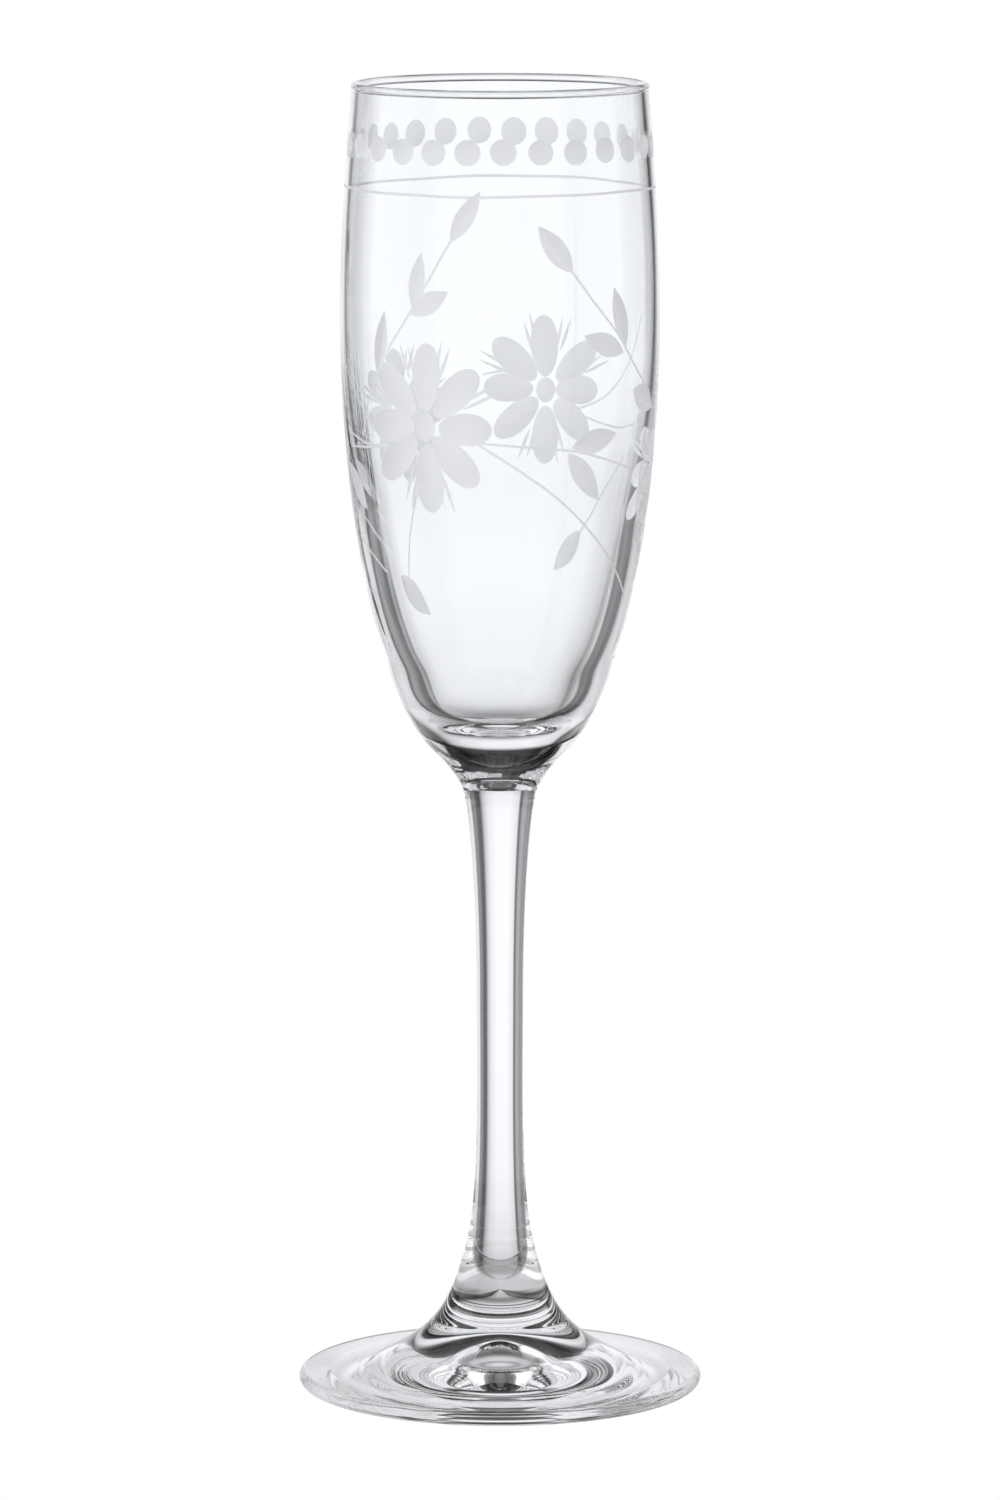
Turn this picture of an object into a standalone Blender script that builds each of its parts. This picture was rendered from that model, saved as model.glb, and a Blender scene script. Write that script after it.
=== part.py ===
"""Champagne flute made in three pieces of clear glass.

A blown bowl, a drawn stem and a pressed foot, each a turned solid of its own.
They meet at two hot welds: a flat one under the bowl, and a domed one where
the stem's round end sits in the foot's boss.

The frame: metres, +Z up along the glass's axis, the origin on the surface
that the foot stands on.
"""

import math

import bmesh
import bpy
from mathutils import Vector
from mathutils.geometry import interpolate_bezier

MM = 0.001

# Driving dimensions
HEIGHT = 225.0 * MM
RIM_THICKNESS = 1.1 * MM
RIM_RADIUS = 25.1 * MM
BELLY_RADIUS = 27.2 * MM
WELD_RADIUS = 6.5 * MM
WAIST_RADIUS = 4.05 * MM
BOSS_RADIUS = 12.9 * MM
FOOT_RADIUS = 34.8 * MM

BOWL_WELD_HEIGHT = 104.5 * MM
BOWL_FLOOR_HEIGHT = 115.0 * MM
FOOT_WELD_HEIGHT = 26.0 * MM
FOOT_WELD_RADIUS = 5.55 * MM
FOOT_WELD_DEPTH = 4.0 * MM
WELD_GAP = 0.3 * MM

FOOT_EDGE_RADIUS = 1.25 * MM
TREAD_INNER_RADIUS = 29.0 * MM
KICK_SHELF_RADIUS = 12.5 * MM
KICK_SHELF_HEIGHT = 1.7 * MM
KICK_HEIGHT = 6.0 * MM

FACETS = 48
SHARP_ANGLE = math.radians(35.0)
MERGE_DISTANCE = 0.00002


class Station:
    """A point that an outline passes through, as radius and height.

    heading is the outline's direction there: degrees outward from straight
    down. before and after are the lengths of the curve's handles.
    """

    def __init__(self, radius, height, heading, before=0.0, after=0.0):
        self.point = Vector((radius, height))
        angle = math.radians(heading)
        self.direction = Vector((math.sin(angle), -math.cos(angle)))
        self.before = before
        self.after = after


# The outside of the glass, from the rim down to the foot's edge
RIM_CENTRE_HEIGHT = HEIGHT - RIM_THICKNESS / 2
OUTER_RIM = Station(RIM_RADIUS, RIM_CENTRE_HEIGHT, 5.5, after=11.0 * MM)
OUTER_BELLY = Station(BELLY_RADIUS, 185.0 * MM, 0, 12.6 * MM, 19.3 * MM)
OUTER_SHOULDER = Station(18.6 * MM, 123.5 * MM, -19.5, 19.8 * MM, 6.8 * MM)
OUTER_NECK = Station(11.2 * MM, 110.5 * MM, -52.7, 2.9 * MM, 1.8 * MM)
OUTER_WELD = Station(WELD_RADIUS, BOWL_WELD_HEIGHT, -22.0, 1.6 * MM, 3.3 * MM)
WAIST = Station(WAIST_RADIUS, 68.0 * MM, 0, 17.6 * MM, 11.2 * MM)
FOOT_WELD = Station(FOOT_WELD_RADIUS, FOOT_WELD_HEIGHT, 13.0, 9.2 * MM, 5.2 * MM)
BOSS = Station(BOSS_RADIUS, 9.9 * MM, 47.0, 6.1 * MM, 5.0 * MM)
FOOT_EDGE_CENTRE = Vector((FOOT_RADIUS - FOOT_EDGE_RADIUS, FOOT_EDGE_RADIUS))
FOOT_EDGE = Station(FOOT_EDGE_CENTRE.x, 2 * FOOT_EDGE_RADIUS, 88, 11.0 * MM)

# The inside of the bowl, from the rim down to the middle of its floor
INNER_RIM = Station(RIM_RADIUS - RIM_THICKNESS, RIM_CENTRE_HEIGHT, 3.5, after=17.0 * MM)
INNER_BELLY = Station(26.2 * MM, 187.0 * MM, 0, 14.0 * MM, 13.0 * MM)
INNER_WALL = Station(23.0 * MM, 156.5 * MM, -13.5, 9.0 * MM, 9.5 * MM)
INNER_SHOULDER = Station(14.8 * MM, 126.0 * MM, -25.0, 9.0 * MM, 7.5 * MM)
INNER_FLOOR = Station(0.0, BOWL_FLOOR_HEIGHT, -90, 11.5 * MM)


def curve_through(stations, spans):
    """Points on the smooth curve through the stations, spans[i] steps in each stretch."""
    points = [stations[0].point]
    for start, end, steps in zip(stations, stations[1:], spans):
        start_handle = start.point + start.direction * start.after
        end_handle = end.point - end.direction * end.before
        stretch = interpolate_bezier(
            start.point, start_handle, end_handle, end.point, steps + 1
        )
        points.extend(Vector(point[:2]) for point in stretch[1:])
    return points


def arc(centre, radius, first_degrees, last_degrees, steps):
    """Points on an arc, both ends left out; 0 degrees points outward and 90 up."""
    points = []
    for step in range(1, steps):
        turn = first_degrees + (last_degrees - first_degrees) * step / steps
        angle = math.radians(turn)
        offset = Vector((math.cos(angle), math.sin(angle))) * radius
        points.append(centre + offset)
    return points


def dome(rim_radius, rim_height, depth, steps):
    """Points down a bulging cap, from its rim to its lowest point on the axis."""
    sphere_radius = (rim_radius**2 + depth**2) / (2 * depth)
    centre_height = rim_height - depth + sphere_radius
    half_angle = math.asin(rim_radius / sphere_radius)
    points = []
    for step in range(steps + 1):
        angle = half_angle * (1 - step / steps)
        radius = sphere_radius * math.sin(angle)
        points.append(Vector((radius, centre_height - sphere_radius * math.cos(angle))))
    return points


def clear_glass(name, tint):
    """Clear glass; tint is its faint body colour."""
    material = bpy.data.materials.new(name)
    material.use_nodes = True
    shader = material.node_tree.nodes["Principled BSDF"]
    shader.inputs["Base Color"].default_value = (*tint, 1.0)
    shader.inputs["Roughness"].default_value = 0.02
    shader.inputs["Metallic"].default_value = 0.0
    shader.inputs["IOR"].default_value = 1.52
    shader.inputs["Transmission Weight"].default_value = 1.0
    return material


def turned(name, outline, material):
    """A solid of revolution about Z.

    The outline starts and ends on the axis and runs down the outer side.
    """
    mesh = bpy.data.meshes.new(name)
    edges = [(i, i + 1) for i in range(len(outline) - 1)]
    mesh.from_pydata([(p.x, 0.0, p.y) for p in outline], edges, [])
    piece = bpy.data.objects.new(name, mesh)
    bpy.context.collection.objects.link(piece)

    screw = piece.modifiers.new("turn", "SCREW")
    screw.axis = "Z"
    screw.steps = FACETS
    screw.render_steps = FACETS
    screw.use_merge_vertices = True
    screw.merge_threshold = MERGE_DISTANCE
    screw.use_normal_calculate = False

    apply_modifiers(piece)
    piece.data.materials.append(material)
    piece.data.shade_smooth()
    piece.data.set_sharp_from_angle(angle=SHARP_ANGLE)
    return piece


def apply_modifiers(piece):
    """Keep the evaluated shape as the object's own mesh, in triangles."""
    graph = bpy.context.evaluated_depsgraph_get()
    evaluated = bpy.data.meshes.new_from_object(piece.evaluated_get(graph))
    evaluated.name = piece.name
    piece.modifiers.clear()
    outline_mesh = piece.data
    piece.data = evaluated
    bpy.data.meshes.remove(outline_mesh)

    shape = bmesh.new()
    shape.from_mesh(piece.data)
    bmesh.ops.remove_doubles(shape, verts=shape.verts, dist=MERGE_DISTANCE)
    bmesh.ops.triangulate(shape, faces=shape.faces)
    shape.to_mesh(piece.data)
    shape.free()


def make_bowl():
    """The bowl: thin at the rim, thick towards its floor, flat at its weld."""
    inside = curve_through(
        [INNER_RIM, INNER_BELLY, INNER_WALL, INNER_SHOULDER, INNER_FLOOR],
        [4, 4, 4, 6],
    )
    rim_centre = Vector((RIM_RADIUS - RIM_THICKNESS / 2, RIM_CENTRE_HEIGHT))
    rim = arc(rim_centre, RIM_THICKNESS / 2, 180, 0, 4)
    outside = curve_through(
        [OUTER_RIM, OUTER_BELLY, OUTER_SHOULDER, OUTER_NECK, OUTER_WELD],
        [5, 8, 4, 4],
    )
    weld_centre = Vector((0.0, BOWL_WELD_HEIGHT))
    outline = inside[::-1] + rim + outside + [weld_centre]
    return turned("bowl", outline, clear_glass("bowl_glass", (0.98, 0.99, 0.99)))


def make_stem():
    """The stem: flat under the bowl, slim at its waist, round-ended in the boss."""
    top = Vector((0.0, BOWL_WELD_HEIGHT - WELD_GAP))
    side = curve_through([OUTER_WELD, WAIST, FOOT_WELD], [7, 6])
    side[0] = Vector((WELD_RADIUS, top.y))
    end = dome(FOOT_WELD_RADIUS, FOOT_WELD_HEIGHT, FOOT_WELD_DEPTH, 5)
    outline = [top] + side + end[1:]
    return turned("stem", outline, clear_glass("stem_glass", (0.97, 0.985, 0.985)))


def make_foot():
    """The foot: a boss with a socket, a disc, and a tread around a kick with a domed middle."""
    socket = dome(
        FOOT_WELD_RADIUS, FOOT_WELD_HEIGHT - WELD_GAP, FOOT_WELD_DEPTH, 5
    )
    top_side = curve_through([FOOT_WELD, BOSS, FOOT_EDGE], [5, 8])[1:]
    edge = arc(FOOT_EDGE_CENTRE, FOOT_EDGE_RADIUS, 90, -90, 6)
    tread = [
        Vector((FOOT_EDGE_CENTRE.x, 0.0)),
        Vector((TREAD_INNER_RADIUS, 0.0)),
    ]
    kick = curve_through(
        [
            Station(TREAD_INNER_RADIUS, 0.0, -97, after=5.0 * MM),
            Station(KICK_SHELF_RADIUS, KICK_SHELF_HEIGHT, -99, 5.0 * MM, 3.0 * MM),
            Station(0.0, KICK_HEIGHT, -90, 4.0 * MM),
        ],
        [5, 6],
    )[1:]
    outline = socket[::-1] + top_side + edge + tread + kick
    return turned("foot", outline, clear_glass("foot_glass", (0.98, 0.99, 0.985)))


def main():
    for leftover in list(bpy.data.objects):
        bpy.data.objects.remove(leftover, do_unlink=True)
    root = bpy.data.objects.new("flute", None)
    bpy.context.collection.objects.link(root)
    for piece in (make_bowl(), make_stem(), make_foot()):
        piece.parent = root


main()
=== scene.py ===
import math

import bmesh
import bpy
import numpy as np
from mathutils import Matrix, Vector, kdtree
from mathutils.geometry import delaunay_2d_cdt, interpolate_bezier


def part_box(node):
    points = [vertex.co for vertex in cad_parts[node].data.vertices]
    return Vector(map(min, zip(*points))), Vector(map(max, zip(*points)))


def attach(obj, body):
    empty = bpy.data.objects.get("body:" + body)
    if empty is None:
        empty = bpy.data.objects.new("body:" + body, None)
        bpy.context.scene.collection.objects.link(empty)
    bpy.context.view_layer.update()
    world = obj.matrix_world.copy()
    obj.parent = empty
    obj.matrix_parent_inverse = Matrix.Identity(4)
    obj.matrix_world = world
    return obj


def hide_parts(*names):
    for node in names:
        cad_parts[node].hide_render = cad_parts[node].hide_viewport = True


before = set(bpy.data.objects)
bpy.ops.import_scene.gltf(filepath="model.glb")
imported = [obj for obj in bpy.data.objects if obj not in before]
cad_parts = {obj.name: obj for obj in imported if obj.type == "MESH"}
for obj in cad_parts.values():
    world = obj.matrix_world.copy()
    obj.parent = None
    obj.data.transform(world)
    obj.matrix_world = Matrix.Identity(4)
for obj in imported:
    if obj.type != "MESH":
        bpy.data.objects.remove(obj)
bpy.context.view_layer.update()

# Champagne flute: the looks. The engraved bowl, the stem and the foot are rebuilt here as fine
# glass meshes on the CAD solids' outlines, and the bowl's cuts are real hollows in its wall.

MM = 0.001


# ---------------------------------------------------------------------------------------------
# Outline of the glass, as in the CAD: stations of radius, height and heading
# ---------------------------------------------------------------------------------------------

BOWL_LOW, BOWL_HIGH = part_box("bowl")
STEM_LOW, STEM_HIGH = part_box("stem")
FOOT_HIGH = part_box("foot")[1]

HEIGHT = BOWL_HIGH[2]
BELLY_RADIUS = BOWL_HIGH[0]
FOOT_RADIUS = FOOT_HIGH[0]
BOWL_WELD_HEIGHT = BOWL_LOW[2]
WELD_RADIUS = STEM_HIGH[0]
STEM_END_HEIGHT = STEM_LOW[2]

RIM_THICKNESS = 1.1 * MM
RIM_RADIUS = 25.1 * MM
RIM_CENTRE_HEIGHT = HEIGHT - RIM_THICKNESS / 2
RIM_BEAD = 0.80 * MM  # radius of the fire-polished bead
RIM_NECK = 0.60 * MM  # height over which the bead thins to the wall
FOOT_WELD_DEPTH = 4.0 * MM
FOOT_WELD_HEIGHT = STEM_END_HEIGHT + FOOT_WELD_DEPTH
FOOT_WELD_RADIUS = 5.55 * MM
FOOT_EDGE_RADIUS = 1.25 * MM
TREAD_INNER_RADIUS = 29.0 * MM
KICK_SHELF_RADIUS = 12.5 * MM
KICK_SHELF_HEIGHT = 1.7 * MM
KICK_HEIGHT = 6.0 * MM
WELD_GAP = 0.02 * MM


class Station:
    """A point of an outline: radius, height, heading in degrees outward from straight down."""

    def __init__(self, radius, height, heading, before=0.0, after=0.0):
        self.point = Vector((radius, height))
        angle = math.radians(heading)
        self.direction = Vector((math.sin(angle), -math.cos(angle)))
        self.before = before
        self.after = after


OUTER_RIM = Station(RIM_RADIUS, RIM_CENTRE_HEIGHT, 5.5, after=11.0 * MM)
OUTER_BELLY = Station(BELLY_RADIUS, 185.0 * MM, 0, 12.6 * MM, 19.3 * MM)
OUTER_SHOULDER = Station(18.6 * MM, 123.5 * MM, -19.5, 19.8 * MM, 6.8 * MM)
OUTER_NECK = Station(11.2 * MM, 110.5 * MM, -52.7, 2.9 * MM, 1.8 * MM)
OUTER_WELD = Station(WELD_RADIUS, BOWL_WELD_HEIGHT, -22.0, 1.6 * MM, 3.3 * MM)
WAIST = Station(4.05 * MM, 68.0 * MM, 0, 17.6 * MM, 11.2 * MM)
FOOT_WELD = Station(FOOT_WELD_RADIUS, FOOT_WELD_HEIGHT, 13.0, 9.2 * MM, 5.2 * MM)
BOSS = Station(12.9 * MM, 9.9 * MM, 47.0, 6.1 * MM, 5.0 * MM)
FOOT_EDGE_CENTRE = Vector((FOOT_RADIUS - FOOT_EDGE_RADIUS, FOOT_EDGE_RADIUS))
FOOT_EDGE = Station(FOOT_EDGE_CENTRE.x, 2 * FOOT_EDGE_RADIUS, 88, 11.0 * MM)

INNER_RIM = Station(RIM_RADIUS - RIM_THICKNESS, RIM_CENTRE_HEIGHT, 3.5, after=17.0 * MM)
INNER_BELLY = Station(26.2 * MM, 187.0 * MM, 0, 14.0 * MM, 13.0 * MM)
INNER_WALL = Station(23.0 * MM, 156.5 * MM, -13.5, 9.0 * MM, 9.5 * MM)
INNER_SHOULDER = Station(14.8 * MM, 126.0 * MM, -25.0, 9.0 * MM, 7.5 * MM)
INNER_FLOOR = Station(0.0, 115.0 * MM, -90, 11.5 * MM)

KICK_RIM = Station(TREAD_INNER_RADIUS, 0.0, -97, after=5.0 * MM)
KICK_SHELF = Station(KICK_SHELF_RADIUS, KICK_SHELF_HEIGHT, -99, 5.0 * MM, 3.0 * MM)
KICK_TOP = Station(0.0, KICK_HEIGHT, -90, 4.0 * MM)

BEZIER_POINTS = 400
FINE_STEP = 0.1 * MM
SOFTEN = 1.2 * MM
KICK_SOFTEN = 0.3 * MM
WALL_SPACING = 0.5 * MM


def curve_through(stations, spacing, soften=SOFTEN):
    """Evenly spaced points on the smooth curve through the stations, as an array of (r, z).

    The joints between stretches are softened over a short length, as glass has no sudden
    change of curvature.
    """
    fine = [stations[0].point]
    for start, end in zip(stations, stations[1:]):
        start_handle = start.point + start.direction * start.after
        end_handle = end.point - end.direction * end.before
        stretch = interpolate_bezier(
            start.point, start_handle, end_handle, end.point, BEZIER_POINTS
        )
        fine.extend(Vector(point[:2]) for point in stretch[1:])
    fine = np.array([point[:] for point in fine])
    length = np.concatenate([[0.0], np.cumsum(np.linalg.norm(np.diff(fine, axis=0), axis=1))])
    even = np.linspace(0.0, length[-1], int(length[-1] / FINE_STEP) + 1)
    line = np.stack([np.interp(even, length, fine[:, i]) for i in range(2)], axis=1)
    reach = int(3 * soften / FINE_STEP)
    kernel = np.exp(-0.5 * (np.arange(-reach, reach + 1) * FINE_STEP / soften) ** 2)
    kernel /= kernel.sum()
    before = 2 * line[0] - line[reach:0:-1]
    after = 2 * line[-1] - line[-2 : -reach - 2 : -1]
    padded = np.concatenate([before, line, after])
    soft = np.stack([np.convolve(padded[:, i], kernel, "valid") for i in range(2)], axis=1)
    count = max(int(round(length[-1] / spacing)), 2)
    picks = np.linspace(0, len(soft) - 1, count + 1)
    return np.stack([np.interp(picks, np.arange(len(soft)), soft[:, i]) for i in range(2)], axis=1)


def arc(centre, radius, first_degrees, last_degrees, steps):
    """Points on an arc, both ends left out; 0 degrees points outward and 90 up."""
    turns = np.radians(np.linspace(first_degrees, last_degrees, steps + 1)[1:-1])
    return np.array(centre) + radius * np.stack([np.cos(turns), np.sin(turns)], axis=1)


def dome(rim_radius, rim_height, depth, steps):
    """Points down a bulging cap, from its rim to its lowest point on the axis."""
    sphere_radius = (rim_radius**2 + depth**2) / (2 * depth)
    centre_height = rim_height - depth + sphere_radius
    angles = np.linspace(math.asin(rim_radius / sphere_radius), 0.0, steps + 1)
    return np.stack(
        [sphere_radius * np.sin(angles), centre_height - sphere_radius * np.cos(angles)], axis=1
    )


OUTER_WALL = curve_through(
    [OUTER_RIM, OUTER_BELLY, OUTER_SHOULDER, OUTER_NECK, OUTER_WELD], WALL_SPACING
)


def wall_radius(height):
    """The bowl's outer radius at a height."""
    return np.interp(height, OUTER_WALL[::-1, 1], OUTER_WALL[::-1, 0])


def outer_wall_between(high, low):
    """The bowl's outer outline from one height down to another."""
    heights = OUTER_WALL[:, 1]
    within = OUTER_WALL[(heights < high) & (heights > low)]
    return np.concatenate([[[wall_radius(high), high]], within, [[wall_radius(low), low]]])


# ---------------------------------------------------------------------------------------------
# The engraving. Each cut has a place on the glass, in degrees round it (0 faces -Y, 90 faces
# +X) and millimetres of height, and a flat drawing of its own in millimetres on the wall.
# ---------------------------------------------------------------------------------------------

SEAM_DEGREES = -90.0
UNROLL_RADIUS = 27.0
OUTLINE_STEP = 0.30
EGG_ALLOWANCE = 1.3  # how much wider than its middle an egg-shaped cut may be
ROW_SHARE = 0.866  # rows of a triangular grid, as a share of its step
CURVE_POINTS = 40
CURVE_SPACING = 0.5


class Cut:
    """A hollow in the wall: its outline and its depth, in millimetres about its own centre."""

    def __init__(self, degrees, height, turn_degrees, length, width, egg):
        self.angle = math.radians(degrees)
        self.height = height
        turn = math.radians(turn_degrees)
        self.along = (math.cos(turn), math.sin(turn))
        self.a = length / 2
        self.b = width / 2
        self.reach = self.a + self.b
        self.egg = egg

    def onto_wall(self, drawing):
        """Drawing points (n, 2) as unrolled wall points, UNROLL_RADIUS times angle and height."""
        cos, sin = self.along
        across = drawing[:, 0] * cos - drawing[:, 1] * sin
        up = drawing[:, 0] * sin + drawing[:, 1] * cos
        height = self.height + up
        angle = self.angle + across / (wall_radius(height * MM) / MM)
        return np.stack([angle * UNROLL_RADIUS, height], axis=1)

    def depth(self, unrolled):
        """Depth of the hollow at unrolled wall points; zero outside it."""
        up = unrolled[:, 1] - self.height
        radius = wall_radius(unrolled[:, 1] * MM) / MM
        across = (unrolled[:, 0] / UNROLL_RADIUS - self.angle) * radius
        near = (np.abs(up) < self.reach) & (np.abs(across) < self.reach)
        depth = np.zeros(len(unrolled))
        cos, sin = self.along
        x = across[near] * cos + up[near] * sin
        y = up[near] * cos - across[near] * sin
        depth[near] = self.hollow(x, y)
        return depth

    def inner_points(self, step):
        """Drawing points spread over the cut and a little past its edge."""
        side = self.b * EGG_ALLOWANCE
        return hex_grid(-self.a, self.a, -side, side, step)


class Scoop(Cut):
    """An oval hollow with a rounded floor, as a ball or an olive wheel leaves it."""

    def __init__(self, degrees, height, turn_degrees, length, width, depth, egg=0.0):
        super().__init__(degrees, height, turn_degrees, length, width, egg)
        self.deepest = depth

    def hollow(self, x, y):
        half = np.maximum(self.b * (1 + self.egg * x / self.a), 1e-6)
        return self.deepest * np.maximum(1 - (x / self.a) ** 2 - (y / half) ** 2, 0.0)

    def outlines(self):
        around = math.pi * (self.a + self.b)
        turn = np.linspace(0, 2 * math.pi, max(int(around / OUTLINE_STEP), 12), endpoint=False)
        x = self.a * np.cos(turn)
        y = self.b * np.sin(turn) * (1 + self.egg * np.cos(turn))
        return [(self.onto_wall(np.stack([x, y], axis=1)), True)]


class Mitre(Cut):
    """A pointed hollow with two flat sides that meet in a crease, as a V-edged wheel leaves."""

    def __init__(self, degrees, height, turn_degrees, length, width, slope, egg=0.0):
        super().__init__(degrees, height, turn_degrees, length, width, egg)
        self.slope = slope

    def half_width(self, x):
        along = np.clip(x / self.a, -1, 1)
        return self.b * (1 - along**2) * (1 + self.egg * along)

    def hollow(self, x, y):
        inside = np.abs(x) < self.a
        return np.where(inside, self.slope * np.maximum(self.half_width(x) - np.abs(y), 0.0), 0.0)

    def outlines(self):
        count = max(int(2 * self.a / OUTLINE_STEP), 8)
        x = np.linspace(-self.a, self.a, count + 1)
        half = self.half_width(x)
        loop_x = np.concatenate([x, x[-2:0:-1]])
        loop_y = np.concatenate([half, -half[-2:0:-1]])
        crease = np.stack([x, np.zeros_like(x)], axis=1)
        loop = np.stack([loop_x, loop_y], axis=1)
        return [(self.onto_wall(loop), True), (self.onto_wall(crease), False)]


class Line:
    """A fine groove along a line of unrolled wall points, pointed at its ends unless closed."""

    NEARBY = 2.0  # millimetres within which a stretch of the line can matter to a point

    def __init__(self, points, width, depth, closed=False):
        self.half = width / 2
        self.deepest = depth
        self.closed = closed
        self.middle = points

    def sides(self):
        """Unrolled points of the groove's middle and of its two edges."""
        middle = self.middle
        run = np.gradient(middle, axis=0)
        radius = wall_radius(middle[:, 1] * MM) / MM
        stretch = radius / UNROLL_RADIUS
        flat = np.stack([run[:, 0] * stretch, run[:, 1]], axis=1)
        flat /= np.linalg.norm(flat, axis=1)[:, None]
        normal = np.stack([-flat[:, 1] / stretch, flat[:, 0]], axis=1)
        taper = np.full(len(middle), self.half)
        if not self.closed:
            taper[[0, -1]] = 0.0
        return middle, middle + normal * taper[:, None], middle - normal * taper[:, None]

    def outlines(self):
        middle, left, right = self.sides()
        return [(middle, False), (left, False), (right, False)]

    def depth(self, unrolled):
        depth = np.zeros(len(unrolled))
        low = self.middle.min(axis=0) - self.NEARBY / 2
        high = self.middle.max(axis=0) + self.NEARBY / 2
        near = np.flatnonzero(((unrolled > low) & (unrolled < high)).all(axis=1))
        if not len(near):
            return depth
        points = unrolled[near]
        stretch = (wall_radius(points[:, 1] * MM) / MM / UNROLL_RADIUS)[:, None]
        best = np.full(len(points), np.inf)
        start, end = self.middle[:-1], self.middle[1:]
        for first, last in zip(start, end):
            to_point = points - first
            run = (last - first)[None, :]
            close = np.abs(to_point).max(axis=1) < self.NEARBY
            if not close.any():
                continue
            scale = np.concatenate([stretch[close], np.ones_like(stretch[close])], axis=1)
            offset = to_point[close] * scale
            way = run * scale
            share = np.clip((offset * way).sum(1) / (way * way).sum(1), 0, 1)
            gap = np.linalg.norm(offset - way * share[:, None], axis=1)
            best[close] = np.minimum(best[close], gap)
        depth[near] = self.deepest * np.maximum(1 - (best / self.half) ** 2, 0.0)
        return depth


def hex_grid(x_low, x_high, y_low, y_high, step):
    """Points of a triangular grid over a rectangle."""
    rows = np.arange(y_low, y_high, step * ROW_SHARE)
    points = []
    for i, y in enumerate(rows):
        x = np.arange(x_low + (i % 2) * step / 2, x_high, step)
        points.append(np.stack([x, np.full_like(x, y)], axis=1))
    return np.concatenate(points)


def stem_line(stops):
    """A smooth unrolled curve through stops of (degrees, height), evenly spaced."""
    stops = np.array(stops, float)
    flat = np.stack([np.radians(stops[:, 0]) * UNROLL_RADIUS, stops[:, 1]], axis=1)
    ends = np.concatenate([[2 * flat[0] - flat[1]], flat, [2 * flat[-1] - flat[-2]]])
    fine = []
    for i in range(1, len(ends) - 2):
        t = np.linspace(0, 1, CURVE_POINTS, endpoint=False)[:, None]
        p0, p1, p2, p3 = ends[i - 1 : i + 3]
        fine.append(
            0.5 * (2 * p1 + (p2 - p0) * t + (2 * p0 - 5 * p1 + 4 * p2 - p3) * t**2
                   + (3 * p1 - p0 - 3 * p2 + p3) * t**3)
        )
    fine = np.concatenate(fine + [flat[-1:]])
    length = np.concatenate([[0.0], np.cumsum(np.linalg.norm(np.diff(fine, axis=0), axis=1))])
    count = max(int(length[-1] / CURVE_SPACING), 4)
    even = np.linspace(0, length[-1], count + 1)
    return np.stack([np.interp(even, length, fine[:, i]) for i in range(2)], axis=1)


def in_domain(degrees):
    """The same place round the glass, in the turn that starts at the seam."""
    return (degrees - SEAM_DEGREES) % 360.0 + SEAM_DEGREES


# Dots under the rim: cut by hand, so their spacing, height and width drift a little
DOT_COUNT = 27
DOT_START_DEGREES = 1.2
DOT_DRIFT_DEGREES = 1.6
DOT_HEIGHT, DOT_HEIGHT_DRIFT = 214.75, 0.15
DOT_WIDTH, DOT_WIDTH_DRIFT = 4.4, 0.12
DOT_ASPECT = 0.98
DOT_DEPTH = 0.36
DOT_SEED = 5


def dots():
    drift = np.random.default_rng(DOT_SEED)
    made = []
    for k in range(DOT_COUNT):
        turn = 360.0 / DOT_COUNT * k
        drifted = DOT_DRIFT_DEGREES * max(math.sin(math.radians(2 * turn)), 0.0)
        degrees = in_domain(DOT_START_DEGREES + turn + drifted)
        height = DOT_HEIGHT + drift.uniform(-DOT_HEIGHT_DRIFT, DOT_HEIGHT_DRIFT)
        width = DOT_WIDTH + drift.uniform(-DOT_WIDTH_DRIFT, DOT_WIDTH_DRIFT)
        made.append(Scoop(degrees, height, 0, width, width * DOT_ASPECT, DOT_DEPTH))
    return made


# The line round the glass below the dots
RING_HEIGHT = 207.5
RING_WIDTH = 0.45
RING_DEPTH = 0.05
RING_WAVER = 0.12
RING_RIPPLE = 0.05
RING_POINTS = 361


def ring_line():
    turn = np.linspace(0, 2 * math.pi, RING_POINTS)
    angle = math.radians(SEAM_DEGREES) + turn
    height = RING_HEIGHT + RING_WAVER * np.sin(3 * turn + 0.8) + RING_RIPPLE * np.sin(8 * turn)
    middle = np.stack([angle * UNROLL_RADIUS, height], axis=1)
    return [Line(middle, RING_WIDTH, RING_DEPTH, closed=True)]


# Flowers: eight petals round an oval eye, with pairs of fine cuts in the gaps
FLOWERS = (
    # degrees, height, size
    (-28.0, 168.8, 1.00),
    (162.0, 169.2, 0.98),
    (88.0, 158.5, 0.84),
    (-136.0, 165.0, 0.90),
)
PETALS = (
    # direction, distance of its middle, length, width
    (90, 8.4, 11.4, 5.2),
    (45, 8.2, 10.6, 5.3),
    (0, 6.9, 9.2, 5.5),
    (-45, 7.9, 10.8, 5.2),
    (-90, 8.7, 11.6, 5.2),
    (-135, 7.8, 10.4, 5.3),
    (180, 6.7, 9.2, 5.6),
    (135, 8.2, 10.6, 5.2),
)
PETAL_DEPTH = 0.50
PETAL_EGG = 0.10
PETAL_TURN_DRIFT, PETAL_DISTANCE_DRIFT = 3, 0.2
EYE_LENGTH, EYE_WIDTH, EYE_DEPTH = 4.9, 3.7, 0.36
SPIKE_DIRECTIONS = (28, 74, 106, 152, -106, -74)
SPIKE_INNER, SPIKE_OUTER = 7.6, 14.6
SPIKE_WIDTH, SPIKE_SLOPE, SPIKE_APART = 0.62, 0.25, 1.25
SPIKE_EGG = -0.35
SPIKE_SPLAY_DEGREES = 6
SPIKE_TURN_DRIFT, SPIKE_DISTANCE_DRIFT = 2, 0.5
FLOWER_SEED = 11


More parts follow.
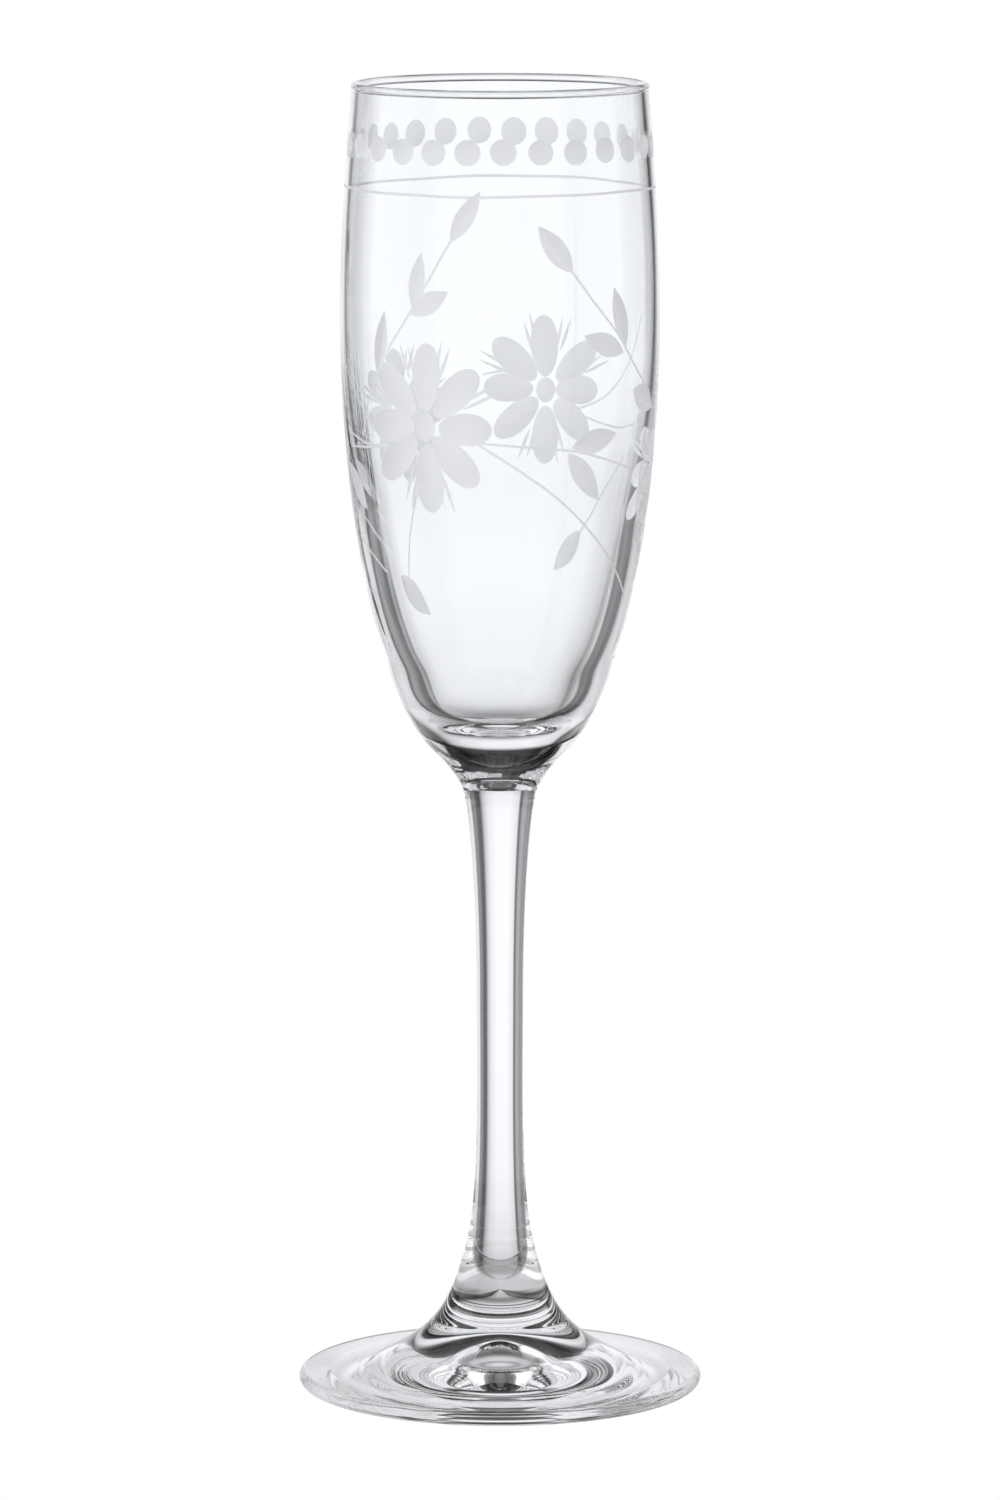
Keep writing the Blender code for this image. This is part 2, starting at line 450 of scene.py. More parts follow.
def flower(degrees, height, size, drift):
    made = [Scoop(in_domain(degrees), height, 90, EYE_LENGTH * size, EYE_WIDTH * size, EYE_DEPTH)]

    def at(x, z):
        up = height + z * size
        radius = wall_radius(up * MM) / MM
        return in_domain(degrees + math.degrees(x * size / radius)), up

    for direction, distance, length, width in PETALS:
        turn = direction + drift.uniform(-PETAL_TURN_DRIFT, PETAL_TURN_DRIFT)
        away = distance + drift.uniform(-PETAL_DISTANCE_DRIFT, PETAL_DISTANCE_DRIFT)
        place = at(away * math.cos(math.radians(turn)), away * math.sin(math.radians(turn)))
        shape = (length * size, width * size, PETAL_DEPTH * size)
        made.append(Scoop(*place, turn, *shape, PETAL_EGG))
    for direction in SPIKE_DIRECTIONS:
        for side in (-0.5, 0.5):
            turn = math.radians(direction)
            moved = drift.uniform(-SPIKE_DISTANCE_DRIFT, SPIKE_DISTANCE_DRIFT)
            middle = (SPIKE_INNER + SPIKE_OUTER) / 2 + moved + side
            x = middle * math.cos(turn) - side * SPIKE_APART * math.sin(turn)
            z = middle * math.sin(turn) + side * SPIKE_APART * math.cos(turn)
            heading = direction + SPIKE_SPLAY_DEGREES * side
            heading += drift.uniform(-SPIKE_TURN_DRIFT, SPIKE_TURN_DRIFT)
            length = (SPIKE_OUTER - SPIKE_INNER) * size
            made.append(Mitre(*at(x, z), heading, length, SPIKE_WIDTH, SPIKE_SLOPE, SPIKE_EGG))
    return made


# Leaves: degrees and height of the base, degrees and height of the tip, and width
LEAVES = (
    (-18.1, 199.8, -7.2, 208.4, 3.2),
    (-32.5, 188.6, -29.3, 198.0, 3.0),
    (-33.6, 187.6, -18.5, 191.6, 3.6),
    (-49.5, 177.0, -45.3, 188.0, 3.0),
    (26.8, 194.6, 13.8, 202.6, 3.8),
    (51.2, 181.6, 44.8, 191.9, 3.4),
    (49.8, 180.7, 31.2, 184.0, 3.8),
    (27.0, 165.2, 47.5, 167.2, 4.0),
    (25.6, 164.4, 40.2, 155.9, 3.8),
    (138.0, 144.6, 152.0, 138.2, 3.6),
    (-115.0, 138.4, -137.0, 131.2, 4.6),
    (-77.0, 161.0, -62.0, 153.5, 4.0),
    (56.0, 174.2, 73.0, 170.6, 4.6),
)
LEAF_SLOPE = 0.27
LEAF_EGG = -0.12

# Stems: stops in degrees and height
STEMS = (
    ((-46.0, 179.9), (-34.0, 187.6), (-28.7, 191.4), (-17.7, 200.2)),
    ((-49.6, 177.2), (-55.0, 172.5), (-60.5, 166.0)),
    ((26.6, 194.8), (35.0, 189.8), (47.2, 183.6), (56.1, 178.6), (64.0, 175.0)),
    ((-46.2, 165.3), (-61.4, 171.7), (-76.0, 178.6)),
    ((-46.6, 165.0), (-58.0, 165.1), (-72.5, 166.6)),
    ((-46.4, 165.1), (-59.0, 164.4), (-73.0, 164.0)),
    ((-8.0, 166.3), (7.1, 165.7), (27.0, 164.7), (41.0, 163.1), (58.0, 160.6)),
    ((-8.4, 166.2), (7.1, 161.6), (22.4, 156.6), (40.1, 149.6), (54.1, 143.8), (69.0, 137.8)),
    ((149.0, 165.6), (134.3, 168.7), (120.5, 175.4), (110.0, 185.0)),
    ((148.0, 165.0), (136.0, 163.6), (122.0, 163.2), (106.0, 165.0)),
    ((138.0, 144.7), (131.0, 147.6), (123.0, 152.0), (112.0, 158.5)),
    ((-145.5, 152.5), (-141.5, 151.1), (-131.7, 144.6), (-123.5, 137.0)),
    ((-66.0, 152.5), (-54.5, 148.5)),
    ((-74.0, 149.0), (-54.4, 143.4)),
    ((-173.0, 172.0), (176.0, 172.9)),
    ((-177.5, 169.8), (176.5, 171.5)),
)
STEM_WIDTH = 0.42
STEM_DEPTH = 0.05


def leaf(base_degrees, base_height, tip_degrees, tip_height, width):
    middle_height = (base_height + tip_height) / 2
    radius = wall_radius(middle_height * MM) / MM
    x = math.radians(tip_degrees - base_degrees) * radius
    z = tip_height - base_height
    turn = math.degrees(math.atan2(z, x))
    middle = in_domain((base_degrees + tip_degrees) / 2)
    return Mitre(middle, middle_height, turn, math.hypot(x, z), width, LEAF_SLOPE, LEAF_EGG)


def stem(stops):
    first = in_domain(stops[0][0])
    shifted = [(first + (at - stops[0][0] + 180) % 360 - 180, height) for at, height in stops]
    return Line(stem_line(shifted), STEM_WIDTH, STEM_DEPTH)


def all_cuts():
    drift = np.random.default_rng(FLOWER_SEED)
    made = dots() + ring_line()
    for degrees, height, size in FLOWERS:
        made += flower(degrees, height, size, drift)
    made += [leaf(*row) for row in LEAVES]
    made += [stem(stops) for stops in STEMS]
    return made


def depth_at(cuts, unrolled):
    """The deepest of the cuts at each unrolled wall point."""
    depth = np.zeros(len(unrolled))
    for cut in cuts:
        np.maximum(depth, cut.depth(unrolled), out=depth)
    return depth


# ---------------------------------------------------------------------------------------------
# Meshes
# ---------------------------------------------------------------------------------------------

# Columns round each piece, and the spacing of points down its outline
BOWL_ROUND, STEM_ROUND, FOOT_ROUND = 224, 160, 336
OUTLINE_SPACING = {"bowl": 0.9 * MM, "stem": 0.5 * MM, "foot": 0.3 * MM}
RIM_NECK_STEPS, RIM_BEAD_STEPS = 10, 16
DOME_STEPS = 20
FOOT_EDGE_STEPS = 20
RIM_JOINT = 0.1 * MM  # the wall's own points stop this far below the bead's neck

# Material slots, the same on every piece
CLEAR, FROSTED, WELD = 0, 1, 2

# The engraved stretch of the wall, and the spacing of its points, in millimetres
WALL_TOP = 221.0
WALL_BOTTOM = 126.0
CLEAR_STEP = 0.8
CUT_STEP = 0.36
NARROW_CUT_STEP = 0.3
NARROW_CUT = 1.0
CLEAR_MARGIN = 0.38
CUT_MARGIN = 0.14
CUT_POINTS_APART = 0.2
EDGE_MARGIN = 0.5
FROSTED_FROM_DEPTH = 1e-4
MERGED_WITHIN = 1e-5
SMALLEST_AREA = 1e-9
CREASE_DEGREES = 22

JOIN_GRID = 1e7  # points that agree to a ten-millionth of a metre are one vertex


class Builder:
    """Collects joined vertices, each with its smooth normal, and faces with their slots."""

    def __init__(self):
        self.index = {}
        self.points = []
        self.normals = []
        self.faces = []
        self.slots = []

    def add_points(self, points, normals):
        """Adds points, joining those that coincide, and returns their numbers."""
        numbers = []
        for point, normal in zip(points, normals):
            key = tuple(np.round(point * JOIN_GRID).astype(int))
            if key not in self.index:
                self.index[key] = len(self.points)
                self.points.append(point)
                self.normals.append(normal)
            numbers.append(self.index[key])
        return numbers

    def add_faces(self, faces, slots):
        self.faces.extend(faces)
        self.slots.extend(slots)


def line_normals(outline):
    """Outward normals (r, z) of an outline that runs down its outer side."""
    run = np.gradient(outline, axis=0)
    normal = np.stack([-run[:, 1], run[:, 0]], axis=1)
    return normal / np.linalg.norm(normal, axis=1)[:, None]


def turn_points(outline, normals, angle):
    """An outline's points and normals at one angle; 0 faces -Y and 90 degrees faces +X."""
    across, forward = math.sin(angle), -math.cos(angle)
    points = np.stack([outline[:, 0] * across, outline[:, 0] * forward, outline[:, 1]], axis=1)
    turned = np.stack([normals[:, 0] * across, normals[:, 0] * forward, normals[:, 1]], axis=1)
    return points, turned


def add_lathe(build, outline, slot, segments):
    """Adds a turned surface. Points on the axis become one pole."""
    normals = line_normals(outline)
    columns = []
    start = math.radians(SEAM_DEGREES)
    for i in range(segments):
        points, turned = turn_points(outline, normals, start + 2 * math.pi * i / segments)
        columns.append(build.add_points(points, turned))
    faces = []
    for i in range(segments):
        here, there = columns[i], columns[(i + 1) % segments]
        for j in range(len(outline) - 1):
            corners = [here[j + 1], there[j + 1], there[j], here[j]]
            face = list(dict.fromkeys(corners))
            if len(face) > 2:
                faces.append(face)
    build.add_faces(faces, [slot] * len(faces))


def add_engraved_wall(build, cuts):
    """Adds the bowl's outer wall between two heights, with the cuts let into it."""
    left = math.radians(SEAM_DEGREES) * UNROLL_RADIUS
    width = 2 * math.pi * UNROLL_RADIUS
    right = left + width

    points = []
    edges = []

    def chain(line, closed):
        first = len(points)
        points.extend(map(tuple, line))
        count = len(line)
        last = count if closed else count - 1
        edges.extend((first + i, first + (i + 1) % count) for i in range(last))

    columns = left + width * np.arange(BOWL_ROUND + 1) / BOWL_ROUND
    side_heights = np.linspace(WALL_BOTTOM, WALL_TOP, int((WALL_TOP - WALL_BOTTOM) / CLEAR_STEP))
    chain(np.stack([columns, np.full_like(columns, WALL_BOTTOM)], axis=1), False)
    chain(np.stack([columns, np.full_like(columns, WALL_TOP)], axis=1), False)
    chain(np.stack([np.full_like(side_heights, left), side_heights], axis=1), False)
    chain(np.stack([np.full_like(side_heights, right), side_heights], axis=1), False)
    for cut in cuts:
        for line, closed in cut.outlines():
            chain(line, closed)

    outline_tree = kdtree.KDTree(len(points))
    for i, (x, y) in enumerate(points):
        outline_tree.insert((x, y, 0), i)
    outline_tree.balance()

    def keep_clear(candidates, distance):
        return [p for p in candidates if outline_tree.find((p[0], p[1], 0))[2] > distance]

    inner = []
    for cut in cuts:
        if isinstance(cut, Cut):
            step = CUT_STEP if cut.b > NARROW_CUT else NARROW_CUT_STEP
            inner.append(cut.onto_wall(cut.inner_points(step)))
    inner = np.concatenate(inner)
    inner = inner[depth_at(cuts, inner) > 0.0]
    inner = thin_out(np.array(keep_clear(inner, CUT_MARGIN)), CUT_POINTS_APART)

    field = hex_grid(
        left + EDGE_MARGIN,
        right - EDGE_MARGIN,
        WALL_BOTTOM + EDGE_MARGIN,
        WALL_TOP - EDGE_MARGIN,
        CLEAR_STEP,
    )
    field = field[depth_at(cuts, field) == 0.0]
    field = np.array(keep_clear(field, CLEAR_MARGIN))
    points.extend(map(tuple, inner))
    points.extend(map(tuple, field))

    verts, _, faces, _, _, _ = delaunay_2d_cdt(
        [Vector(p) for p in points], edges, [], 0, MERGED_WITHIN, False
    )
    flat = np.array([v[:] for v in verts])
    flat[:, 0] = np.clip(flat[:, 0], left, right)
    tri = np.array([f[:] for f in faces if len(f) == 3])
    corner = flat[tri]
    area = np.cross(corner[:, 1] - corner[:, 0], corner[:, 2] - corner[:, 0])
    tri = tri[np.abs(area) > SMALLEST_AREA]
    area = area[np.abs(area) > SMALLEST_AREA]
    tri[area < 0] = tri[area < 0][:, ::-1]

    depth = depth_at(cuts, flat)
    frosted = depth_at(cuts, flat[tri].mean(axis=1)) > FROSTED_FROM_DEPTH

    angle = flat[:, 0] / UNROLL_RADIUS
    height = flat[:, 1] * MM
    normals = line_normals(OUTER_WALL)[::-1]
    wall_z = OUTER_WALL[::-1, 1]
    radius = np.interp(height, wall_z, OUTER_WALL[::-1, 0])
    out = np.interp(height, wall_z, normals[:, 0])
    up = np.interp(height, wall_z, normals[:, 1])
    across, forward = np.sin(angle), -np.cos(angle)
    turned = np.stack([out * across, out * forward, up], axis=1)
    turned /= np.linalg.norm(turned, axis=1)[:, None]
    place = np.stack([radius * across, radius * forward, height], axis=1)
    place -= turned * (depth * MM)[:, None]

    numbers = np.array(build.add_points(place, turned))
    joined = numbers[tri]
    whole = (joined != np.roll(joined, 1, axis=1)).all(axis=1)
    build.add_faces(
        [list(map(int, t)) for t in joined[whole]],
        [FROSTED if f else CLEAR for f in frosted[whole]],
    )


def thin_out(points, gap):
    """Leaves out points closer than gap to one kept before."""
    cells = {}
    kept = []
    for point in points:
        cell = (int(point[0] // gap), int(point[1] // gap))
        crowd = [
            q
            for i in (-1, 0, 1)
            for j in (-1, 0, 1)
            for q in cells.get((cell[0] + i, cell[1] + j), ())
        ]
        if all((point[0] - q[0]) ** 2 + (point[1] - q[1]) ** 2 > gap * gap for q in crowd):
            cells.setdefault(cell, []).append(point)
            kept.append(point)
    return np.array(kept)


def finish_piece(build, name, materials):
    """Makes the collected faces one object, smooth except along the cuts' edges and creases."""
    mesh = bpy.data.meshes.new(name)
    mesh.from_pydata([tuple(p) for p in build.points], [], build.faces)
    for material in materials:
        mesh.materials.append(material)
    mesh.polygons.foreach_set("material_index", build.slots)
    mesh.shade_smooth()
    mesh.update()

    shape = bmesh.new()
    shape.from_mesh(mesh)
    for edge in shape.edges:
        slots = {face.material_index for face in edge.link_faces}
        steep = edge.calc_face_angle(0.0) > math.radians(CREASE_DEGREES)
        edge.smooth = not (len(slots) > 1 or (steep and slots == {FROSTED}))
    shape.to_mesh(mesh)
    shape.free()

    slots = np.empty(len(mesh.polygons), np.int32)
    mesh.polygons.foreach_get("material_index", slots)
    totals = np.empty(len(mesh.polygons), np.int32)
    mesh.polygons.foreach_get("loop_total", totals)
    corners = np.empty(len(mesh.loops), np.int32)
    mesh.loops.foreach_get("vertex_index", corners)
    loop_normals = np.array(build.normals)[corners]
    loop_normals[np.repeat(slots, totals) != CLEAR] = 0.0
    mesh.normals_split_custom_set(loop_normals)

    piece = bpy.data.objects.new(name, mesh)
    bpy.context.scene.collection.objects.link(piece)
    return piece


# ---------------------------------------------------------------------------------------------
# Materials
# ---------------------------------------------------------------------------------------------

GLASS_IOR = 1.51
CLEAR_COLOUR = (0.99, 0.995, 0.995, 1)
BLOWN_WAVER = (0.01 * MM, 40.0)  # depth of the unevenness and its fineness
PRESSED_WAVER = (0.03 * MM, 60.0)
GROUND_COLOUR = (0.99, 0.99, 0.995, 1)
GROUND_ROUGHNESS = (0.4, 0.6)
GRAIN_SCALE = 4000.0
TRANSLUCENT_SHARE = 0.4


def new_material(name):
    material = bpy.data.materials.new(name)
    material.use_nodes = True
    return material, material.node_tree.nodes, material.node_tree.links


def clear_glass(name, waver, scale):
    """Polished glass with the slow unevenness that hot working leaves."""
    material, nodes, links = new_material(name)
    shader = nodes["Principled BSDF"]
    shader.inputs["Base Color"].default_value = CLEAR_COLOUR
    shader.inputs["Transmission Weight"].default_value = 1.0
    shader.inputs["Roughness"].default_value = 0.0
    shader.inputs["IOR"].default_value = GLASS_IOR
    place = nodes.new("ShaderNodeTexCoord")
    noise = nodes.new("ShaderNodeTexNoise")
    noise.inputs["Scale"].default_value = scale
    noise.inputs["Detail"].default_value = 1.0
    bump = nodes.new("ShaderNodeBump")
    bump.inputs["Strength"].default_value = 1.0
    bump.inputs["Distance"].default_value = waver
    links.new(place.outputs["Object"], noise.inputs["Vector"])
    links.new(noise.outputs["Fac"], bump.inputs["Height"])
    links.new(bump.outputs["Normal"], shader.inputs["Normal"])
    return material


def frosted_glass(name):
    """The wheel's fine-ground surface: it scatters light both ways and blurs what is behind it."""
    material, nodes, links = new_material(name)
    shader = nodes["Principled BSDF"]
    shader.inputs["Base Color"].default_value = GROUND_COLOUR
    shader.inputs["Transmission Weight"].default_value = 0.5
    shader.inputs["IOR"].default_value = GLASS_IOR
    place = nodes.new("ShaderNodeTexCoord")
    grain = nodes.new("ShaderNodeTexNoise")
    grain.inputs["Scale"].default_value = GRAIN_SCALE
    grain.inputs["Detail"].default_value = 3.0
    rough = nodes.new("ShaderNodeMapRange")
    rough.inputs["To Min"].default_value = GROUND_ROUGHNESS[0]
    rough.inputs["To Max"].default_value = GROUND_ROUGHNESS[1]
    links.new(place.outputs["Object"], grain.inputs["Vector"])
    links.new(grain.outputs["Fac"], rough.inputs["Value"])
    links.new(rough.outputs["Result"], shader.inputs["Roughness"])
    through = nodes.new("ShaderNodeBsdfTranslucent")
    through.inputs["Color"].default_value = GROUND_COLOUR
    both = nodes.new("ShaderNodeMixShader")
    both.inputs["Fac"].default_value = TRANSLUCENT_SHARE
    links.new(shader.outputs["BSDF"], both.inputs[1])
    links.new(through.outputs["BSDF"], both.inputs[2])
    links.new(both.outputs["Shader"], nodes["Material Output"].inputs["Surface"])
    return material


def weld_glass(name):
    """A hot weld inside the glass, which light passes straight, so two pieces read as one."""
    material, nodes, links = new_material(name)
    nodes.remove(nodes["Principled BSDF"])
    through = nodes.new("ShaderNodeBsdfTransparent")
    links.new(through.outputs["BSDF"], nodes["Material Output"].inputs["Surface"])
    return material


# ---------------------------------------------------------------------------------------------
# Pieces
# ---------------------------------------------------------------------------------------------


def rim_outline(inside):
    """The fire-polished bead, a little thicker than the wall, from its inside to its outside."""
    share = np.linspace(1.0, 0.0, RIM_NECK_STEPS + 1)
    heights = HEIGHT - RIM_BEAD - RIM_NECK * share
    inner = np.interp(heights, inside[:, 1], inside[:, 0])
    outer = np.array([wall_radius(height) for height in heights])
    swell = (RIM_BEAD - (outer[-1] - inner[-1]) / 2) * (1 + np.cos(np.pi * share)) / 2
    up = np.stack([inner - swell, heights], axis=1)
    down = np.stack([outer + swell, heights], axis=1)[::-1]
    centre = ((inner[-1] + outer[-1]) / 2, HEIGHT - RIM_BEAD)
    over = arc(centre, RIM_BEAD, 180, 0, RIM_BEAD_STEPS)
    return np.concatenate([up[:-1], over, down[1:]])


def make_bowl(clear, frosted, weld):
    build = Builder()
    inside = curve_through(
        [INNER_RIM, INNER_BELLY, INNER_WALL, INNER_SHOULDER, INNER_FLOOR],
        OUTLINE_SPACING["bowl"],
    )[::-1]
    inside[0, 0] = 0.0
    rim = rim_outline(inside)
    rim_foot = HEIGHT - RIM_BEAD - RIM_NECK - RIM_JOINT
    inside = inside[inside[:, 1] < rim_foot]
    above = outer_wall_between(rim_foot, WALL_TOP * MM)
    below = outer_wall_between(WALL_BOTTOM * MM, OUTER_WALL[-1, 1])
    weld_radius, weld_height = below[-1]
    under = [[weld_radius, weld_height], [weld_radius / 2, weld_height], [0.0, weld_height]]
    add_lathe(build, np.concatenate([inside, rim, above]), CLEAR, BOWL_ROUND)
    add_engraved_wall(build, all_cuts())
    add_lathe(build, below, CLEAR, BOWL_ROUND)
    add_lathe(build, np.array(under), WELD, BOWL_ROUND)
    return finish_piece(build, "engraved_bowl", [clear, frosted, weld])


def make_stem(clear, weld):
    """No ground faces here or on the foot; the weld fills that slot, to keep the slot numbers."""
    build = Builder()
    side = curve_through([OUTER_WELD, WAIST, FOOT_WELD], OUTLINE_SPACING["stem"])
    side[0, 1] -= WELD_GAP
    top = np.array([[0.0, side[0, 1]], [side[0, 0] / 2, side[0, 1]], side[0]])
    end = dome(side[-1, 0], side[-1, 1], FOOT_WELD_DEPTH, DOME_STEPS)
    add_lathe(build, side, CLEAR, STEM_ROUND)
    add_lathe(build, top, WELD, STEM_ROUND)
    add_lathe(build, end, WELD, STEM_ROUND)
    return finish_piece(build, "drawn_stem", [clear, weld, weld])


def make_foot(clear, weld):
    build = Builder()
    top_side = curve_through([FOOT_WELD, BOSS, FOOT_EDGE], OUTLINE_SPACING["foot"])
    top_side[0, 1] -= WELD_GAP
    socket = dome(top_side[0, 0], top_side[0, 1], FOOT_WELD_DEPTH, DOME_STEPS)[::-1]
    edge = arc(FOOT_EDGE_CENTRE, FOOT_EDGE_RADIUS, 90, -90, FOOT_EDGE_STEPS)
    tread = np.array([[FOOT_EDGE_CENTRE.x, 0.0], [TREAD_INNER_RADIUS, 0.0]])
    kick = curve_through([KICK_RIM, KICK_SHELF, KICK_TOP], OUTLINE_SPACING["foot"], KICK_SOFTEN)
    kick[-1, 0] = 0.0
    add_lathe(build, np.concatenate([top_side, edge, tread, kick[1:]]), CLEAR, FOOT_ROUND)
    add_lathe(build, socket, WELD, FOOT_ROUND)
    return finish_piece(build, "pressed_foot", [clear, weld, weld])


# ---------------------------------------------------------------------------------------------
# Camera, floor and light
# ---------------------------------------------------------------------------------------------

CAMERA_DISTANCE = 1.349
CAMERA_DOWN = math.radians(8.39)
CAMERA_AIM = 110.66 * MM
CAMERA_LENS = 188.9
CAMERA_SENSOR = 36.0
CAMERA_CLIP = (0.05, 60.0)
FLOOR_RADIUS = 11.0
FLOOR_SIDES = 96
FLOOR_DROP = 0.2 * MM


def make_camera():
    data = bpy.data.cameras.new("camera")
    data.lens = CAMERA_LENS
    data.sensor_width = CAMERA_SENSOR
    data.sensor_fit = "AUTO"
    data.clip_start, data.clip_end = CAMERA_CLIP
    camera = bpy.data.objects.new("camera", data)
    bpy.context.scene.collection.objects.link(camera)
    back = Vector((0, -math.cos(CAMERA_DOWN), math.sin(CAMERA_DOWN)))
    camera.location = Vector((0, 0, CAMERA_AIM)) + back * CAMERA_DISTANCE
    camera.rotation_mode = "QUATERNION"
    camera.rotation_quaternion = (-back).to_track_quat("-Z", "Y")
    bpy.context.scene.camera = camera


def make_floor():
    """A pale studio floor that runs out of sight."""
    mesh = bpy.data.meshes.new("studio_floor")
    shape = bmesh.new()
    bmesh.ops.create_circle(shape, cap_ends=True, radius=FLOOR_RADIUS, segments=FLOOR_SIDES)
    shape.to_mesh(mesh)
    shape.free()
    floor = bpy.data.objects.new("studio_floor", mesh)
    floor.location.z = -FLOOR_DROP
    bpy.context.scene.collection.objects.link(floor)
    material, nodes, links = new_material("pale_floor")
    nodes.remove(nodes["Principled BSDF"])
    glow = nodes.new("ShaderNodeEmission")
    glow.inputs["Color"].default_value = (1, 1, 1, 1)
    glow.inputs["Strength"].default_value = 1.0
    links.new(glow.outputs["Emission"], nodes["Material Output"].inputs["Surface"])
    mesh.materials.append(material)
    for kind in ("diffuse", "glossy", "transmission", "volume_scatter", "shadow"):
        setattr(floor, "visible_" + kind, False)


# Light by direction: azimuth from +Y toward +X, and elevation, in degrees
WHITE = 1.02
SKY_COLOUR = (0.965, 0.975, 1.0, 1)
ROOM_LEVEL = 2.3  # the room as ground glass scatters it, and how much brighter it is on the left
ROOM_LEAN = 0.35
AZIMUTH_STOPS = (
    (-180, 0.95), (-160, 0.9), (-155, 0.4), (-149, 0.4), (-145, 0.95),
    (-76, 0.95), (-70, 0.6), (-66, 0.27), (-58, 0.18), (-47, 0.18), (-43, 0.26), (-36, 0.4),
    (-31, 0.3), (-29, 0.12), (-26, 0.12), (-24, 0.82), (-12, 1.0),
    (5, 1.0), (15, 0.85), (21, 0.6), (24, 0.3), (26, 0.04), (33, 0.05), (38, 0.2), (46, 0.2), (50, 0.9),
    (75, 0.95), (104, 0.85), (145, 0.95), (152, 0.4), (160, 0.95),
)
ELEVATION_STOPS = (
    (-90, 0.62), (-72, 0.5), (-62, 0.28), (-54, 0.24), (-45, 0.34), (-36, 0.52), (-28, 0.78), (-20, 0.88),
    (-8, 1.0), (7, 0.95), (12, 0.6), (17, 0.15), (25, 0.03), (55, 0.03), (68, 0.05), (76, 0.15), (90, 0.15),
)
SOFTBOXES = (
    # azimuth levels, elevation shares: in front of the glass, left, right, and the table's glow
    (
        ((-180, 1.15), (-135, 1.15), (-90, 0.0), (90, 0.0), (135, 1.15), (180, 1.15)),
        ((-90, 0.0), (-34, 0.0), (-28, 1.0), (32, 1.0), (38, 0.0), (90, 0.0)),
    ),
    (
        ((-180, 0.0), (-120, 0.0), (-108, 1.1), (-74, 1.1), (-68, 0.0), (180, 0.0)),
        ((-90, 0.0), (-30, 0.0), (-24, 1.0), (54, 1.0), (60, 0.0), (90, 0.0)),
    ),
    (
        ((-180, 0.0), (56, 0.0), (62, 0.8), (108, 0.8), (114, 0.0), (180, 0.0)),
        ((-90, 0.0), (-30, 0.0), (-24, 1.0), (44, 1.0), (50, 0.0), (90, 0.0)),
    ),
    (
        ((-180, 0.6), (-72, 0.6), (-50, 0.0), (50, 0.0), (76, 0.5), (180, 0.6)),
        ((-90, 1.0), (-20, 1.0), (-10, 0.0), (90, 0.0)),
    ),
)


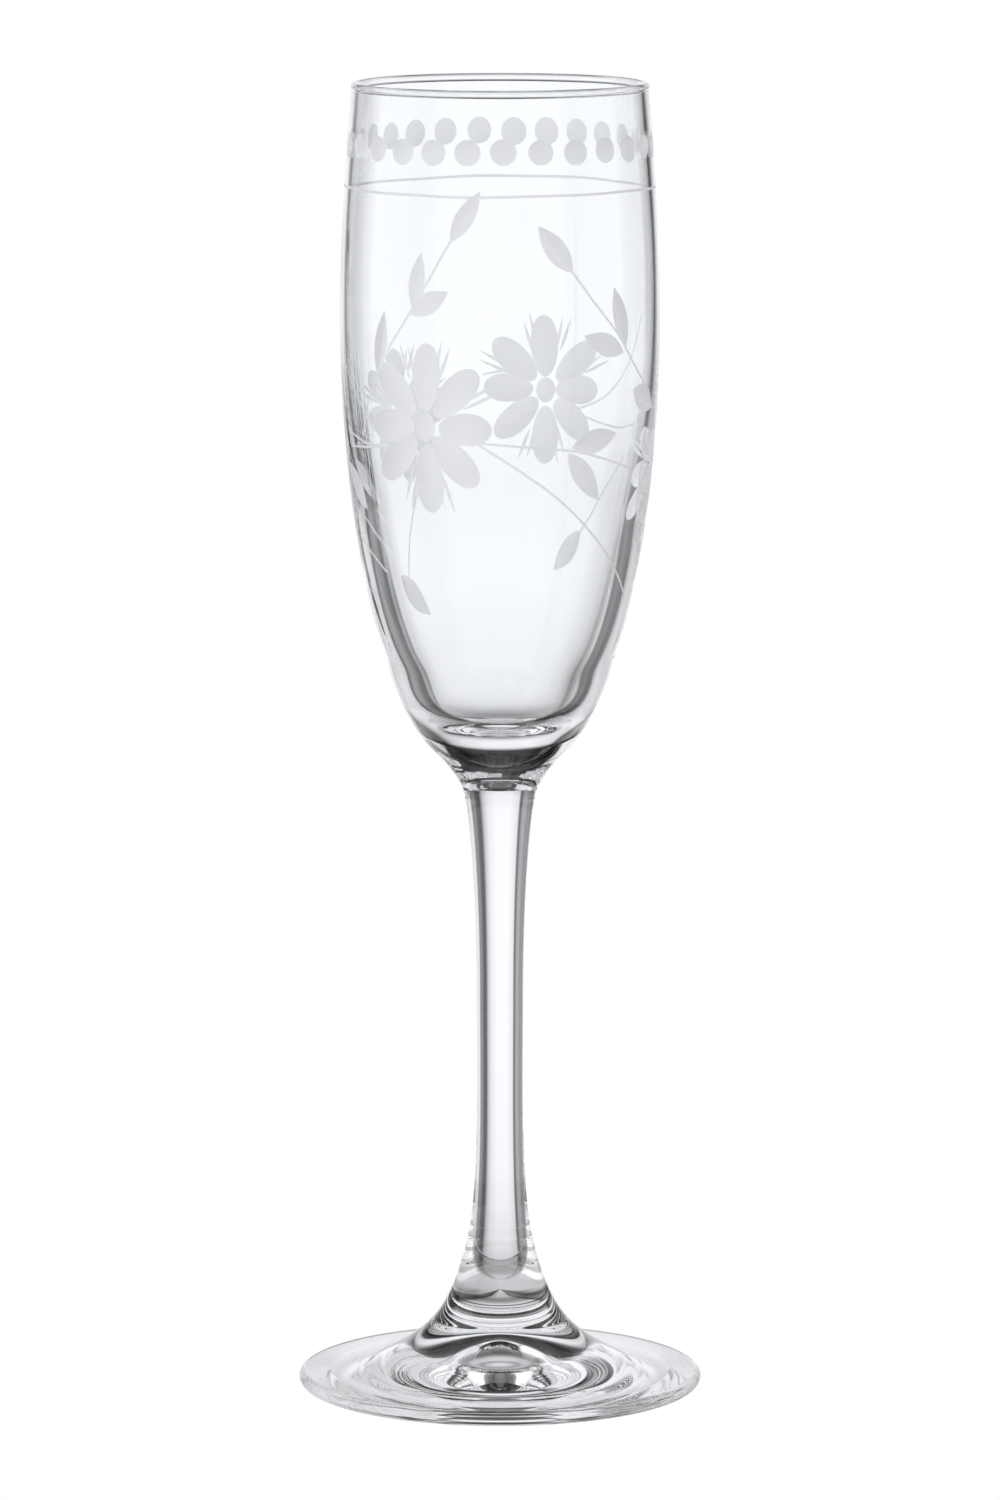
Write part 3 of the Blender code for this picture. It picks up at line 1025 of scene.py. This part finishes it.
def make_world():
    """Studio light: white all round at table height, dark flags in places, darker overhead."""
    world = bpy.data.worlds.new("studio")
    bpy.context.scene.world = world
    world.use_nodes = True
    nodes, links = world.node_tree.nodes, world.node_tree.links
    back = nodes["Background"]
    place = nodes.new("ShaderNodeTexCoord")
    split = nodes.new("ShaderNodeSeparateXYZ")
    links.new(place.outputs["Generated"], split.inputs["Vector"])

    def math_node(operation, *values):
        node = nodes.new("ShaderNodeMath")
        node.operation = operation
        for socket, value in zip(node.inputs, values):
            if isinstance(value, (int, float)):
                socket.default_value = value
            else:
                links.new(value, socket)
        return node.outputs[0]

    def ramp(value, low, high, stops):
        shift = math_node("SUBTRACT", value, low)
        share = math_node("DIVIDE", shift, high - low)
        node = nodes.new("ShaderNodeValToRGB")
        node.color_ramp.interpolation = "LINEAR"
        elements = node.color_ramp.elements
        while len(elements) < len(stops):
            elements.new(0.5)
        for element, (at, level) in zip(elements, stops):
            element.position = (at - low) / (high - low)
            element.color = (level, level, level, 1)
        links.new(share, node.inputs["Fac"])
        return node.outputs["Color"]

    azimuth = math_node("ARCTAN2", split.outputs["X"], split.outputs["Y"])
    azimuth = math_node("MULTIPLY", azimuth, 180 / math.pi)
    elevation = math_node("ARCSINE", split.outputs["Z"])
    elevation = math_node("MULTIPLY", elevation, 180 / math.pi)
    flags = ramp(azimuth, -180, 180, AZIMUTH_STOPS)
    height = ramp(elevation, -90, 90, ELEVATION_STOPS)
    level = math_node("MULTIPLY", flags, height)
    for azimuth_stops, elevation_stops in SOFTBOXES:
        across = ramp(azimuth, -180, 180, azimuth_stops)
        up = ramp(elevation, -90, 90, elevation_stops)
        level = math_node("MAXIMUM", level, math_node("MULTIPLY", across, up))
    level = math_node("MULTIPLY", level, WHITE)
    # light that a ground surface scatters comes from the whole room: nearly even, more from the left
    path = nodes.new("ShaderNodeLightPath")
    scattered = math_node("GREATER_THAN", path.outputs["Diffuse Depth"], 0.5)
    room = math_node("MULTIPLY_ADD", split.outputs["X"], -ROOM_LEVEL * ROOM_LEAN, ROOM_LEVEL)
    even = math_node("MULTIPLY", scattered, room)
    direct = math_node("MULTIPLY", math_node("SUBTRACT", 1.0, scattered), level)
    links.new(math_node("ADD", direct, even), back.inputs["Strength"])
    back.inputs["Color"].default_value = SKY_COLOUR


# Light runs far inside the glass, and each total reflection there counts as a glossy bounce
GLASS_BOUNCES, GLOSSY_BOUNCES, WELD_BOUNCES = 64, 48, 32


def main():
    scene = bpy.context.scene
    scene.view_settings.view_transform = "Standard"
    scene.cycles.max_bounces = GLASS_BOUNCES
    scene.cycles.transmission_bounces = GLASS_BOUNCES
    scene.cycles.glossy_bounces = GLOSSY_BOUNCES
    scene.cycles.transparent_max_bounces = WELD_BOUNCES
    make_camera()
    make_floor()
    make_world()

    bowl_clear = clear_glass("clear_bowl_glass", *BLOWN_WAVER)
    stem_clear = clear_glass("clear_stem_glass", *PRESSED_WAVER)
    foot_clear = clear_glass("clear_foot_glass", *PRESSED_WAVER)
    frosted = frosted_glass("ground_glass")
    weld = weld_glass("weld_glass")

    bowl = make_bowl(bowl_clear, frosted, weld)
    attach(bowl, "root")
    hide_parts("bowl")

    stem_piece = make_stem(stem_clear, weld)
    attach(stem_piece, "root")
    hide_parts("stem")

    foot = make_foot(foot_clear, weld)
    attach(foot, "root")
    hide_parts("foot")


main()
